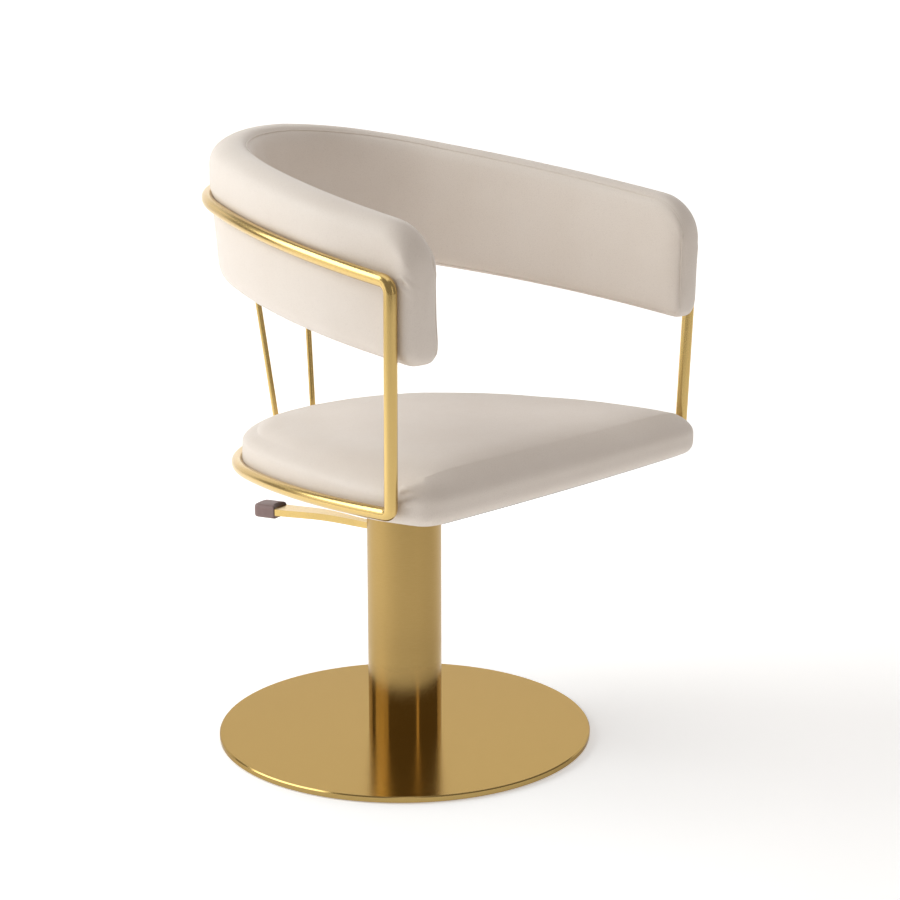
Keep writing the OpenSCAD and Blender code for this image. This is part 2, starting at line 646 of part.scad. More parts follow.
// A closed band between offsets e0 and e1 and heights h0 and h1, starting at u0 on each arm.
module band(u0, e0, e1, h0, h1, r, top_r, low_r, side_in, ends, k) {
    steps = 20;
    us = concat([for (u = ends) u0 + u],
                [for (i = [1:steps]) let (s = u0 + ends[len(ends) - 1]) s + (half_len - s) * i / steps]);
    n = len(us);
    m = 4 * (k + 1);
    side = [for (u = us) let (
            i = corner_in(u - u0, side_in),
            rr = min(r, (e1 - e0) / 2 - i - 0.05),
            section = band_section(e0 + i, e1 - i, h0 + corner_in(u - u0, low_r),
                                   h1 - corner_in(u - u0, top_r), rr, k))
        [for (q = section) band_point(u, q[0], q[1])]];
    rings = concat(side, [for (i = [n - 2:-1:0]) [for (p = side[i]) [-p.x, p.y, p.z]]]);
    pts = [for (ring = rings) for (p = ring) p];
    last = (len(rings) - 1) * m;
    faces = concat([[for (j = [0:m - 1]) j]],
                   [for (i = [0:len(rings) - 2]) for (j = [0:m - 1])
                       [i * m + j, (i + 1) * m + j, (i + 1) * m + (j + 1) % m, i * m + (j + 1) % m]],
                   [[for (j = [m - 1:-1:0]) last + j]]);
    polyhedron(pts, faces, convexity = 10);
}
module shell_band() {
    band(30, pad_gap + shell_skin, pad_gap + shell_skin + shell_t, -pad_below + shell_edge,
         pad_above - shell_edge, 1, 20, 10, 0, [0, 4, 10, 20], 1);
}
module back_shell() color([0.72, 0.56, 0.38]) difference() {
    shell_band();
    bow_stud_bars(stud_d);
}
module back_pad() color(cream) difference() {
    band(0, pad_gap, pad_gap + pad_t, -pad_below, pad_above, 19, arm_top_r, arm_low_r, 11,
         [0, 2, 6, 11, 20, 32, 45], 3);
    shell_band();
}
// Threaded studs on the bow's inner face run into the bent plywood shell inside the pad.
module bow_stud_bars(d) {
    in_bow_frame() for (m = [0, 1], t = bow_stud_angles) if (m == 0 || t > 0) mirror([m, 0, 0])
        translate(concat(bow_point(bow_half_w, bow_rear_r, bow_rear_a, 0, t), [0]))
            rotate([0, 0, -t]) rotate([90, 0, 0])
                cylinder(d = d, h = pad_gap + shell_skin + shell_t - 1);
}
module bow_studs() color(steel) difference() {
    bow_stud_bars(stud_d);
    in_bow_frame() bow_tube(bow_half_w, bow_rear_r, bow_rear_a, tube_d, 0);
}

floor_pad();
base_plate();
base_bolts();
pump_flange();
pump_reservoir();
pump_barrel();
pump_head();
head_bolts();
oil_plug();
gland_bush();
wiper_seal();
gland_nut();
column_shroud();
shroud_cap();
slot_grommet();
lever_pin();
plunger_spring();
ram();
piston();
piston_seal();
thrust_bearing();
hub_nut();
pump_lever();
lever_bush();
lever_grip();
pump_plunger();
swivel_hub();
seat_plate();
plate_bolts();
tee_nuts();
underside_cover();
seat_board();
seat_cushion();
seat_ring();
ring_studs();
front_post_left();
front_post_right();
top_bow();
rear_rod_left();
rear_rod_right();
back_shell();
back_pad();
bow_studs();
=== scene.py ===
"""Hydraulic styling chair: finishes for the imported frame, and two upholstered pads made by cloth."""
import json
import math

import bmesh
import bpy
from mathutils import Matrix, Vector
from mathutils.kdtree import KDTree


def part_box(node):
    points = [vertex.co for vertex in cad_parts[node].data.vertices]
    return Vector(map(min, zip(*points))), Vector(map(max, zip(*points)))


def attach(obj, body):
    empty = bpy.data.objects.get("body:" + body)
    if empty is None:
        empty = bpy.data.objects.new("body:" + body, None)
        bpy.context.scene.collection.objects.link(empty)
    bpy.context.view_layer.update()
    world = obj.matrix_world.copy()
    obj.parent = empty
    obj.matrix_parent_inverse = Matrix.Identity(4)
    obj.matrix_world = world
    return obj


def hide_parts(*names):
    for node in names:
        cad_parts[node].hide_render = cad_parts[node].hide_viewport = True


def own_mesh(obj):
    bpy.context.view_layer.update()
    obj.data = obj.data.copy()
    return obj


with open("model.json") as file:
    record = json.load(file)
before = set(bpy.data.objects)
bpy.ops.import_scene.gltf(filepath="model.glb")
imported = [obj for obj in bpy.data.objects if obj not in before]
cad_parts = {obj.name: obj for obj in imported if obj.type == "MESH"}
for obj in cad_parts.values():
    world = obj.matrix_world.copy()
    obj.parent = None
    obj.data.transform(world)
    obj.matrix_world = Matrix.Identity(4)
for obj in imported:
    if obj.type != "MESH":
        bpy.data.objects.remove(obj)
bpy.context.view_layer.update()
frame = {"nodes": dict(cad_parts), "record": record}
NODES = frame["nodes"]


# ---- Node helpers ----
class Shader:
    """A material's node tree, built with short calls."""

    def __init__(self, name):
        self.material = bpy.data.materials.new(name)
        self.material.use_nodes = True
        self.tree = self.material.node_tree
        self.tree.nodes.clear()
        self.output = self.tree.nodes.new("ShaderNodeOutputMaterial")
        self.bsdf = self.tree.nodes.new("ShaderNodeBsdfPrincipled")
        self.link(self.bsdf.outputs["BSDF"], self.output.inputs["Surface"])
        self.coords = self.tree.nodes.new("ShaderNodeTexCoord").outputs["Object"]

    def link(self, source, target):
        self.tree.links.new(source, target)

    def feed(self, socket, value):
        """Sets a socket to a number or colour, or links it to another node's output."""
        if isinstance(value, bpy.types.NodeSocket):
            self.link(value, socket)
        else:
            socket.default_value = value

    def set(self, **values):
        for name, value in values.items():
            self.feed(self.bsdf.inputs[name.replace("_", " ")], value)

    def axes(self):
        """The object coordinates, split into outputs X, Y and Z."""
        node = self.tree.nodes.new("ShaderNodeSeparateXYZ")
        self.link(self.coords, node.inputs[0])
        return node.outputs

    def scaled(self, scale):
        """The object coordinates, multiplied by a scale along each axis."""
        node = self.tree.nodes.new("ShaderNodeMapping")
        self.link(self.coords, node.inputs["Vector"])
        node.inputs["Scale"].default_value = scale
        return node.outputs["Vector"]

    def noise(self, scale, detail=3.0, roughness=0.5, vector=None, distortion=0.0):
        node = self.tree.nodes.new("ShaderNodeTexNoise")
        self.link(vector or self.coords, node.inputs["Vector"])
        node.inputs["Scale"].default_value = scale
        node.inputs["Detail"].default_value = detail
        node.inputs["Roughness"].default_value = roughness
        node.inputs["Distortion"].default_value = distortion
        return node.outputs["Fac"]

    def cell_edges(self, scale):
        """The distance to the nearest edge of a pattern of irregular cells."""
        node = self.tree.nodes.new("ShaderNodeTexVoronoi")
        node.feature = "DISTANCE_TO_EDGE"
        self.link(self.coords, node.inputs["Vector"])
        node.inputs["Scale"].default_value = scale
        return node.outputs["Distance"]

    def ramp(self, factor, low, high, low_at=0.3, high_at=0.7):
        """Maps a factor between low_at and high_at onto two numbers or two colours."""
        if isinstance(low, tuple):
            node = self.tree.nodes.new("ShaderNodeValToRGB")
            self.link(factor, node.inputs["Fac"])
            for element, position, colour in zip(node.color_ramp.elements, (low_at, high_at),
                                                 (low, high)):
                element.position = position
                element.color = (*colour, 1)
            return node.outputs["Color"]
        node = self.tree.nodes.new("ShaderNodeMapRange")
        self.link(factor, node.inputs["Value"])
        node.inputs["From Min"].default_value = low_at
        node.inputs["From Max"].default_value = high_at
        node.inputs["To Min"].default_value = low
        node.inputs["To Max"].default_value = high
        return node.outputs["Result"]

    def math(self, operation, a, b=0.0):
        node = self.tree.nodes.new("ShaderNodeMath")
        node.operation = operation
        self.feed(node.inputs[0], a)
        self.feed(node.inputs[1], b)
        return node.outputs[0]

    def mix(self, factor, a, b):
        """Two colours, mixed by a factor."""
        node = self.tree.nodes.new("ShaderNodeMix")
        node.data_type = "RGBA"
        self.feed(node.inputs["Factor"], factor)
        for socket, value in ((node.inputs[6], a), (node.inputs[7], b)):
            self.feed(socket, (*value, 1) if isinstance(value, tuple) else value)
        return node.outputs[2]

    def bump(self, height, strength, distance, normal=None):
        node = self.tree.nodes.new("ShaderNodeBump")
        self.link(height, node.inputs["Height"])
        node.inputs["Strength"].default_value = strength
        node.inputs["Distance"].default_value = distance
        if normal:
            self.link(normal, node.inputs["Normal"])
        return node.outputs["Normal"]


# ---- Materials ----
POLISHED_SHARE = 0.32
COAT_ROUGHNESS = 0.12


def gold_metal(name, colours, scale, grain, brush, gloss, coat=0.0, polish=None, edge=(1, 1, 1)):
    """Brushed brass-coloured plating in a dark, a light and a warm tone. scale stretches the brush marks
    along one axis. polish gives the heights between which the finish goes from polished to brushed, and
    edge is the tint of reflections at a grazing angle."""
    s = Shader(name)
    fine = s.noise(grain, 4, 0.6, s.scaled(scale))
    broad = s.noise(6, 3, 0.5)
    smudge = s.noise(38, 4, 0.65, distortion=0.6)
    dark, light, warm = colours
    colour = s.ramp(fine, dark, light, 0.25, 0.8)
    colour = s.mix(s.ramp(broad, 0.0, 0.35), colour, warm)
    rough = s.math("ADD", s.ramp(fine, gloss - 0.03, gloss + 0.03), s.ramp(smudge, 0.0, 0.02, 0.5, 0.8))
    if polish:
        rough = s.math("MULTIPLY", rough, s.ramp(s.axes()["Z"], POLISHED_SHARE, 1.0, *polish))
    s.set(Base_Color=colour, Metallic=1.0, Roughness=rough, Coat_Weight=coat,
          Coat_Roughness=COAT_ROUGHNESS, Specular_Tint=(*edge, 1))
    s.set(Normal=s.bump(fine, brush, 0.0002))
    return s.material


TUBE_GOLD = ((0.61, 0.425, 0.150), (0.70, 0.50, 0.19), (0.66, 0.465, 0.17))
# The next two golds are darker copies of the tube's gold: painted shade, standing in for dimmer
# reflections on the column and the base.
COLUMN_GOLD_SHADED = ((0.42, 0.28, 0.095), (0.49, 0.335, 0.13), (0.455, 0.305, 0.112))
BASE_GOLD_SHADED = ((0.42, 0.285, 0.095), (0.48, 0.335, 0.13), (0.45, 0.31, 0.112))
LEATHER_LIGHT = (0.80, 0.72, 0.645)
LEATHER_DARK = (0.77, 0.685, 0.605)
LEATHER_HOLLOW_SHADE = (0.50, 0.42, 0.37)


def leather():
    """Soft cream upholstery leather with a fine pebble grain whose hollows are darkened as painted shade,
    creases and faint handling marks.
    """
    s = Shader("cream_leatherette")
    pebble = s.cell_edges(620)
    fine = s.noise(1500, 3, 0.6)
    cloud = s.noise(9, 4, 0.55)
    crease = s.noise(46, 5, 0.6, distortion=1.4)
    grain = s.math("ADD", s.ramp(pebble, 0.0, 1.0, 0.0, 0.22), s.math("MULTIPLY", fine, 0.4))
    colour = s.ramp(cloud, LEATHER_DARK, LEATHER_LIGHT, 0.3, 0.7)
    # Painted shade: the colour darkens towards a deeper leather tone in the pebble grain's hollows.
    colour = s.mix(s.ramp(pebble, 0.22, 0.0, 0.0, 0.12), colour, LEATHER_HOLLOW_SHADE)
    s.set(Base_Color=colour, Roughness=s.ramp(crease, 0.47, 0.58), Sheen_Weight=0.25,
          Sheen_Roughness=0.45, Specular_IOR_Level=0.42)
    normal = s.bump(crease, 0.06, 0.0015)
    s.set(Normal=s.bump(grain, 0.22, 0.00025, normal))
    return s.material


def plain_metal(name, dark, light, roughness, scale=(1, 1, 1), grain=220, strength=0.1):
    """Steel, chrome, bronze or cast iron, told apart by colour, grain and roughness."""
    s = Shader(name)
    fine = s.noise(grain, 4, 0.6, s.scaled(scale))
    stain = s.noise(30, 4, 0.6, distortion=0.5)
    colour = s.mix(s.ramp(stain, 0.0, 0.5), s.ramp(fine, dark, light, 0.3, 0.75), dark)
    s.set(Base_Color=colour, Metallic=1.0, Roughness=s.ramp(fine, roughness, roughness + 0.12))
    s.set(Normal=s.bump(fine, strength, 0.0003))
    return s.material


def painted_iron():
    """Dark painted cast iron with an orange-peel skin."""
    s = Shader("cast_iron")
    skin = s.noise(340, 4, 0.6)
    colour = s.ramp(s.noise(14, 3, 0.5), (0.028, 0.029, 0.032), (0.05, 0.051, 0.055))
    s.set(Base_Color=colour, Metallic=0.3, Roughness=s.ramp(skin, 0.45, 0.65))
    s.set(Normal=s.bump(skin, 0.35, 0.0006))
    return s.material


def moulded(name, dark, light, roughness, spark=700):
    """Rubber or plastic with a moulded spark texture and scuffed patches."""
    s = Shader(name)
    fine = s.noise(spark, 3, 0.6)
    scuff = s.noise(60, 5, 0.7, distortion=0.8)
    colour = s.mix(s.ramp(scuff, 0.0, 0.5, 0.45, 0.75), dark, light)
    s.set(Base_Color=colour, Roughness=s.ramp(scuff, roughness, roughness + 0.15))
    s.set(Normal=s.bump(fine, 0.2, 0.0003))
    return s.material


def plywood():
    """Pale wood with its grain drawn out along X."""
    s = Shader("plywood")
    grain = s.noise(70, 5, 0.65, s.scaled((1, 12, 4)), distortion=0.4)
    colour = s.ramp(grain, (0.30, 0.18, 0.09), (0.52, 0.36, 0.20))
    s.set(Base_Color=colour, Roughness=s.ramp(grain, 0.55, 0.7))
    s.set(Normal=s.bump(grain, 0.2, 0.0004))
    return s.material


MATERIALS = {
    "steel": plain_metal("steel", (0.34, 0.35, 0.37), (0.60, 0.61, 0.64), 0.28, (1, 1, 12)),
    "chrome": plain_metal("chrome", (0.68, 0.69, 0.71), (0.80, 0.81, 0.83), 0.08,
                          scale=(12, 12, 1), grain=160, strength=0.02),
    "bronze": plain_metal("bronze", (0.34, 0.21, 0.09), (0.55, 0.37, 0.18), 0.35),
    "cast_iron": painted_iron(),
    "black_rubber": moulded("black_rubber", (0.012, 0.012, 0.013), (0.035, 0.034, 0.034), 0.7),
    "black_plastic": moulded("black_plastic", (0.02, 0.02, 0.022), (0.045, 0.044, 0.045), 0.5),
    "grip_rubber": moulded("grip_rubber", (0.25, 0.165, 0.155), (0.34, 0.25, 0.235), 0.42),
    "plywood": plywood(),
    "cream_leatherette": leather(),
}
GOLD_TUBE = gold_metal("gold_tube", TUBE_GOLD, (60, 60, 9), 22, 0.04, 0.20, coat=0.15)
# The column's and the base's plating use the darker gold copies, whose extra darkness is painted shade.
GOLD_COLUMN_SHADED = gold_metal("gold_column_shaded", COLUMN_GOLD_SHADED, (6, 6, 240), 18, 0.05, 0.36, polish=(0.05, 0.13))
GOLD_BASE_SHADED = gold_metal("gold_base_shaded", BASE_GOLD_SHADED, (260, 5, 40), 14, 0.0, 0.17, edge=(0.67, 0.61, 0.56))
GOLD_FINISH = {"base_plate": GOLD_BASE_SHADED, "column_shroud": GOLD_COLUMN_SHADED, "shroud_cap": GOLD_COLUMN_SHADED}


def paint(piece, material):
    piece.data.materials.clear()
    piece.data.materials.append(material)


for entry in frame["record"]["subparts"]:
    node, slot_name = entry["node"], entry["material_slot"]
    if slot_name == "gold_metal":
        paint(NODES[node], GOLD_FINISH.get(node, GOLD_TUBE))
    else:
        paint(NODES[node], MATERIALS[slot_name])


# ---- Bows: the tube frame's plan curves, which both pads follow ----
class Bow:
    """A U of three tangent arcs, in a plane tilted about X: one across the rear, one along each side."""

    def __init__(self, half_w, rear_r, rear_a, origin, tilt):
        self.half_w, self.rear_r, self.rear_a = half_w, rear_r, math.radians(rear_a)
        self.side_r = (half_w - rear_r * math.sin(self.rear_a)) / (1 - math.sin(self.rear_a))
        self.depth = rear_r * (1 - math.cos(self.rear_a)) + self.side_r * math.cos(self.rear_a)
        self.origin, self.tilt = origin, math.radians(tilt)
        self.side_len = self.side_r * (math.pi / 2 - self.rear_a)
        self.rear_len = rear_r * self.rear_a

    def plan(self, heading, inside):
        """The plan point at a heading, 0 at the rear and pi/2 at the front, that far inside the line."""
        if heading <= self.rear_a:
            r = self.rear_r - inside
            return r * math.sin(heading), self.depth - self.rear_r + r * math.cos(heading)
        r = self.side_r - inside
        return self.half_w - self.side_r + r * math.sin(heading), r * math.cos(heading)

    def along(self, run, inside, ahead):
        """The plan point a run along the bow from its front end, which lies ahead in front of it."""
        if run < ahead:
            return self.half_w - inside, run - ahead
        if run < ahead + self.side_len:
            return self.plan(math.pi / 2 - (run - ahead) / self.side_r, inside)
        left = ahead + self.side_len + self.rear_len - run
        return self.plan(max(0.0, left / self.rear_r), inside)

    def line(self, steps):
        """World points of the centre line, from the middle of the rear to the front end on the left."""
        turn = Matrix.Rotation(self.tilt, 3, "X")
        plan = [self.plan(math.pi / 2 * i / steps, 0.0) for i in range(steps + 1)]
        return [self.origin + turn @ Vector((x, y, 0)) for x, y in plan]

    def clear(self, point, radius):
        """A point, moved straight out of the bow's tube if it lies within radius of its centre line."""
        turn = Matrix.Rotation(self.tilt, 3, "X")
        local = turn.inverted() @ (point - self.origin)
        side = -1 if local.x < 0 else 1
        flat = Vector((abs(local.x), local.y))
        centre, r = Vector((0, self.depth - self.rear_r)), self.rear_r
        if math.atan2(flat.x, flat.y - centre.y) > self.rear_a:
            centre, r = Vector((self.half_w - self.side_r, 0)), self.side_r
        if flat.y < 0:
            return point
        out = flat - centre
        offset = Vector((out.length - r, local.z))
        if offset.length >= radius:
            return point
        offset = offset.normalized() * radius
        flat = centre + out.normalized() * (r + offset.x)
        return self.origin + turn @ Vector((side * flat.x, flat.y, offset.y))


def clear_of_bar(point, start, end, radius):
    """A point, moved straight out of a round bar if it lies within radius of the bar's centre line."""
    run = end - start
    t = min(1.0, max(0.0, (point - start).dot(run) / run.length_squared))
    out = point - (start + run * t)
    return point if out.length >= radius else point + out.normalized() * (radius - out.length)


TUBE_R = 0.00775
ROD_R = 0.004
BOW_TILT, RING_FALL = 8.75, -1.6
BOW_REAR_R, BOW_REAR_A = 0.236, 65.3
RING_REAR_R, RING_REAR_A = 0.246, 67.2
CORNER_AHEAD, CORNER_BELOW = 0.0122, 0.0019
TOUCH = 0.0004

bow_lo, bow_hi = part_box("top_bow")
ring_lo, ring_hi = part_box("seat_ring")
post_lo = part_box("front_post_left")[0]
rod_lo, rod_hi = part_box("rear_rod_left")
BOW_ORIGIN = Vector((0, bow_lo.y + TUBE_R * math.sin(math.radians(BOW_TILT)),
                     bow_lo.z + TUBE_R * math.cos(math.radians(BOW_TILT))))
RING_ORIGIN = Vector((0, ring_lo.y + TUBE_R, post_lo.z + TUBE_R))
TOP_BOW = Bow(bow_hi.x - TUBE_R, BOW_REAR_R, BOW_REAR_A, BOW_ORIGIN, BOW_TILT)
SEAT_RING = Bow(ring_hi.x - TUBE_R, RING_REAR_R, RING_REAR_A, RING_ORIGIN, RING_FALL)
BOW_END = TOP_BOW.origin + Vector((TOP_BOW.half_w, 0, 0))
POST_FOOT = SEAT_RING.origin + Vector((SEAT_RING.half_w, 0, 0))
POST_CORNER = BOW_END - Vector((0, CORNER_AHEAD, CORNER_BELOW))
ROD_FOOT = Vector((rod_lo.x + ROD_R, rod_lo.y + ROD_R, rod_lo.z))
ROD_TOP = Vector((rod_hi.x - ROD_R, rod_hi.y - ROD_R, rod_hi.z))


def mirrored(point):
    """A point's mirror image on the chair's other side."""
    return Vector((-point.x, point.y, point.z))


def press_clear(piece):
    """Moves a pad's points out of the tube frame, so that the tubes press into the upholstery."""
    bars = [(POST_FOOT, POST_CORNER, TUBE_R), (POST_CORNER, BOW_END, TUBE_R), (ROD_FOOT, ROD_TOP, ROD_R)]
    bars += [(mirrored(a), mirrored(b), r) for a, b, r in bars]
    for vertex in piece.data.vertices:
        point = SEAT_RING.clear(TOP_BOW.clear(vertex.co, TUBE_R + TOUCH), TUBE_R + TOUCH)
        for start, end, radius in bars:
            point = clear_of_bar(point, start, end, radius + TOUCH)
        vertex.co = point


# ---- Tube frame: one bent tube through the bow, both posts and the seat ring ----
BEND_STEPS, POST_STEPS, BOW_STEPS, TUBE_SIDES = 9, 10, 90, 32
FOOT_REACH = TUBE_R + 0.0006


def bend(before, corner, after, reach):
    """Points round a corner of a path, starting and ending at reach from the corner."""
    a, b = (before - corner).normalized(), (after - corner).normalized()
    half = a.angle(b) / 2
    centre = corner + (a + b).normalized() * (reach / math.cos(half))
    first, last = corner + a * reach - centre, corner + b * reach - centre
    turn = first.angle(last)
    points = []
    for i in range(BEND_STEPS + 1):
        t = i / BEND_STEPS
        arm = (first * math.sin(turn * (1 - t)) + last * math.sin(turn * t)) / math.sin(turn)
        points.append(centre + arm)
    return points


def sweep(name, path, radius, sides):
    """A tube through a closed path of points."""
    count = len(path)
    tangents = [(path[(i + 1) % count] - path[i - 1]).normalized() for i in range(count)]
    across = [tangents[0].orthogonal().normalized()]
    for i in range(count):
        ahead = tangents[(i + 1) % count]
        turned = tangents[i].rotation_difference(ahead) @ across[-1]
        across.append((turned - ahead * turned.dot(ahead)).normalized())
    side = tangents[0].cross(across[0])
    twist = -math.atan2(across[-1].dot(side), across[-1].dot(across[0]))
    bm = bmesh.new()
    rings = []
    for i, (point, tangent) in enumerate(zip(path, tangents)):
        other = tangent.cross(across[i])
        angles = [math.tau * j / sides + twist * i / count for j in range(sides)]
        rings.append([bm.verts.new(point + (across[i] * math.cos(a) + other * math.sin(a)) * radius)
                      for a in angles])
    for i in range(count):
        near, far = rings[i], rings[(i + 1) % count]
        for j in range(sides):
            k = (j + 1) % sides
            bm.faces.new((near[j], near[k], far[k], far[j]))
    return smooth_piece(name, bm)


def smooth_piece(name, bm):
    """Puts a mesh in the scene, smooth shaded and with its faces turned out."""
    bmesh.ops.recalc_face_normals(bm, faces=bm.faces)
    mesh = bpy.data.meshes.new(name)
    bm.to_mesh(mesh)
    bm.free()
    for polygon in mesh.polygons:
        polygon.use_smooth = True
    piece = bpy.data.objects.new(name, mesh)
    bpy.context.scene.collection.objects.link(piece)
    return piece


def tube_frame():
    """The whole tube frame, from the middle of the bow's rear round both sides and back."""
    bow, ring = TOP_BOW.line(BOW_STEPS), SEAT_RING.line(BOW_STEPS)[::-1]
    top_bend = bend(bow[-1], POST_CORNER, POST_FOOT, (POST_CORNER - bow[-1]).length)
    foot_bend = bend(POST_CORNER, POST_FOOT, ring[2], FOOT_REACH)
    post = [top_bend[-1].lerp(foot_bend[0], i / POST_STEPS) for i in range(1, POST_STEPS)]
    ring = [p for p in ring if (p - POST_FOOT).length > FOOT_REACH + 0.002]
    half = bow[:-1] + top_bend + post + foot_bend + ring
    piece = sweep("tube_frame", half + [mirrored(p) for p in half[-2:0:-1]], TUBE_R, TUBE_SIDES)
    paint(piece, GOLD_TUBE)
    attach(piece, "seat")
    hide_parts("top_bow", "seat_ring", "front_post_left", "front_post_right")


tube_frame()


# ---- Boxed meshes: rings of points closed at both ends by grids, all in quads ----
def coons(top, bottom, left, right):
    """A grid of points between four edges: top and bottom run left to right, the others downwards."""
    rows, cols = len(left), len(top)
    grid = []
    for i in range(rows):
        t = i / (rows - 1)
        row = []
        for j in range(cols):
            s = j / (cols - 1)
            across = left[i].lerp(right[i], s)
            down = top[j].lerp(bottom[j], t)
            corners = top[0].lerp(top[-1], s).lerp(bottom[0].lerp(bottom[-1], s), t)
            row.append(across + down - corners)
        grid.append(row)
    return grid


def ring_edges(rows, cols):
    """Ring indices of a grid's four edges: top and bottom left to right, left and right downwards."""
    top = list(range(cols))
    right = list(range(cols - 1, cols + rows - 1))
    bottom = list(range(cols + rows - 2, 2 * cols + rows - 2))[::-1]
    left = [0] + list(range(2 * cols + 2 * rows - 5, 2 * cols + rows - 4, -1))
    return top, bottom, left, right


def boxed_mesh(name, rings, rows, cols):
    """A closed quad mesh through rings, each rows by cols round. A grid closes each end."""
    size = 2 * (rows + cols) - 4
    bm = bmesh.new()
    verts = [[bm.verts.new(p) for p in ring] for ring in rings]
    for a, b in zip(verts, verts[1:]):
        for j in range(size):
            k = (j + 1) % size
            bm.faces.new((a[j], a[k], b[k], b[j]))
    top, bottom, left, right = ring_edges(rows, cols)
    for ring, points, flip in ((verts[0], rings[0], True), (verts[-1], rings[-1], False)):
        grid = coons(*([points[i] for i in side] for side in (top, bottom, left, right)))
        cell = [[None] * cols for _ in range(rows)]
        for j in range(cols):
            cell[0][j], cell[-1][j] = ring[top[j]], ring[bottom[j]]
        for i in range(rows):
            cell[i][0], cell[i][-1] = ring[left[i]], ring[right[i]]
        for i in range(1, rows - 1):
            for j in range(1, cols - 1):
                cell[i][j] = bm.verts.new(grid[i][j])
        for i in range(rows - 1):
            for j in range(cols - 1):
                quad = (cell[i][j], cell[i][j + 1], cell[i + 1][j + 1], cell[i + 1][j])
                bm.faces.new(quad if not flip else quad[::-1])
    return smooth_piece(name, bm)


def coordinates(piece):
    """Copies of a piece's points."""
    return [v.co.copy() for v in piece.data.vertices]


# ---- Upholstery: cloth swells each pad from a slightly slack shape ----
CLOTH_FRAMES = 20
CLOTH_STRETCH, CLOTH_SHEAR, CLOTH_BEND = 12.0, 6, 2.0
CLOTH_MASS, CLOTH_DRAG, CLOTH_QUALITY = 0.3, 4, 6
LEAST_SWELL = -0.0005
EVENING_PASSES, EVENING_SHARE = 4, 0.6


def neighbours(piece):
    """Each vertex's list of the vertices it shares an edge with."""
    near = [[] for _ in piece.data.vertices]
    for edge in piece.data.edges:
        a, b = edge.vertices
        near[a].append(b)
        near[b].append(a)
    return near


def inflate(piece, held, pressure, cap):
    """Swells a closed mesh with cloth pressure. held gives each vertex's pin weight, and cap is the
    furthest a point may move along its normal. The swelling is evened out over its neighbours."""
    start = coordinates(piece)
    normals = [v.normal.copy() for v in piece.data.vertices]
    group = piece.vertex_groups.new(name="held")
    for i, weight in enumerate(held):
        if weight > 0:
            group.add([i], weight, "REPLACE")
    cloth = piece.modifiers.new("swell", "CLOTH")
    settings = cloth.settings
    settings.quality = CLOTH_QUALITY
    settings.mass = CLOTH_MASS
    settings.tension_stiffness = settings.compression_stiffness = CLOTH_STRETCH
    settings.shear_stiffness = CLOTH_SHEAR
    settings.bending_stiffness = CLOTH_BEND
    settings.air_damping = CLOTH_DRAG
    settings.vertex_group_mass = "held"
    settings.use_pressure = True
    settings.uniform_pressure_force = pressure
    settings.effector_weights.gravity = 0
    cloth.collision_settings.use_self_collision = False
    cloth.point_cache.frame_start, cloth.point_cache.frame_end = 1, CLOTH_FRAMES
    for step in range(1, CLOTH_FRAMES + 1):
        bpy.context.scene.frame_set(step)
    swollen = piece.evaluated_get(bpy.context.evaluated_depsgraph_get()).to_mesh()
    moved = [v.co - p for v, p in zip(swollen.vertices, start)]
    piece.modifiers.remove(cloth)
    piece.vertex_groups.clear()
    bpy.context.scene.frame_set(1)
    swelling = [max(LEAST_SWELL, math.tanh(m.dot(n) / cap) * cap) for m, n in zip(moved, normals)]
    near = neighbours(piece)
    for _ in range(EVENING_PASSES):
        means = [sum(swelling[j] for j in others) / len(others) for others in near]
        swelling = [(1 - EVENING_SHARE) * own + EVENING_SHARE * mean
                    for own, mean in zip(swelling, means)]
    for vertex, point, normal, swell in zip(piece.data.vertices, start, normals, swelling):
        vertex.co = point + normal * swell


def tree_of(points):
    """A search tree over points."""
    tree = KDTree(len(points))
    for i, point in enumerate(points):
        tree.insert(point, i)
    tree.balance()
    return tree


CREASE_LEAD, CREASE_REACH = 0.3, 3
SHOULDER_SHARE, SHOULDER_AT = 0.4, 1.7


def crease(piece, start, end, width, depth):
    """Presses a short pull crease with raised shoulders into a pad, and its mirror image. It fades out
    towards its end."""
    tree = tree_of(coordinates(piece))
    for ends in ((start, end), (mirrored(start), mirrored(end))):
        a, b = (tree.find(point)[0] for point in ends)
        run = b - a
        for vertex in piece.data.vertices:
            offset = vertex.co - a
            t = offset.dot(run) / run.length_squared
            away = (offset - run * t).length / width
            if -CREASE_LEAD < t < 1 and away < CREASE_REACH:
                valley = math.exp(-away ** 2)
                shoulder = SHOULDER_SHARE * math.exp(-(away - SHOULDER_AT) ** 2)
                fade = smooth_step(1 - t, 0, 1) * smooth_step(t, -CREASE_LEAD, 0)
                vertex.co -= vertex.normal * (depth * (valley - shoulder) * fade)


def finish_pad(piece, body, node, creases, levels):
    """Rounds a pad's mesh, creases it and puts it in its CAD solid's place."""
    smooth = piece.modifiers.new("rounding", "SUBSURF")
    smooth.levels = smooth.render_levels = levels
    bpy.context.view_layer.update()
    mesh = bpy.data.meshes.new_from_object(piece.evaluated_get(bpy.context.evaluated_depsgraph_get()))
    piece.modifiers.remove(smooth)
    piece.data = mesh
    for start, end, width, depth in creases:
        crease(piece, start, end, width, depth)
    press_clear(piece)
    paint(piece, MATERIALS["cream_leatherette"])
    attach(piece, body)
    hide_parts(node)


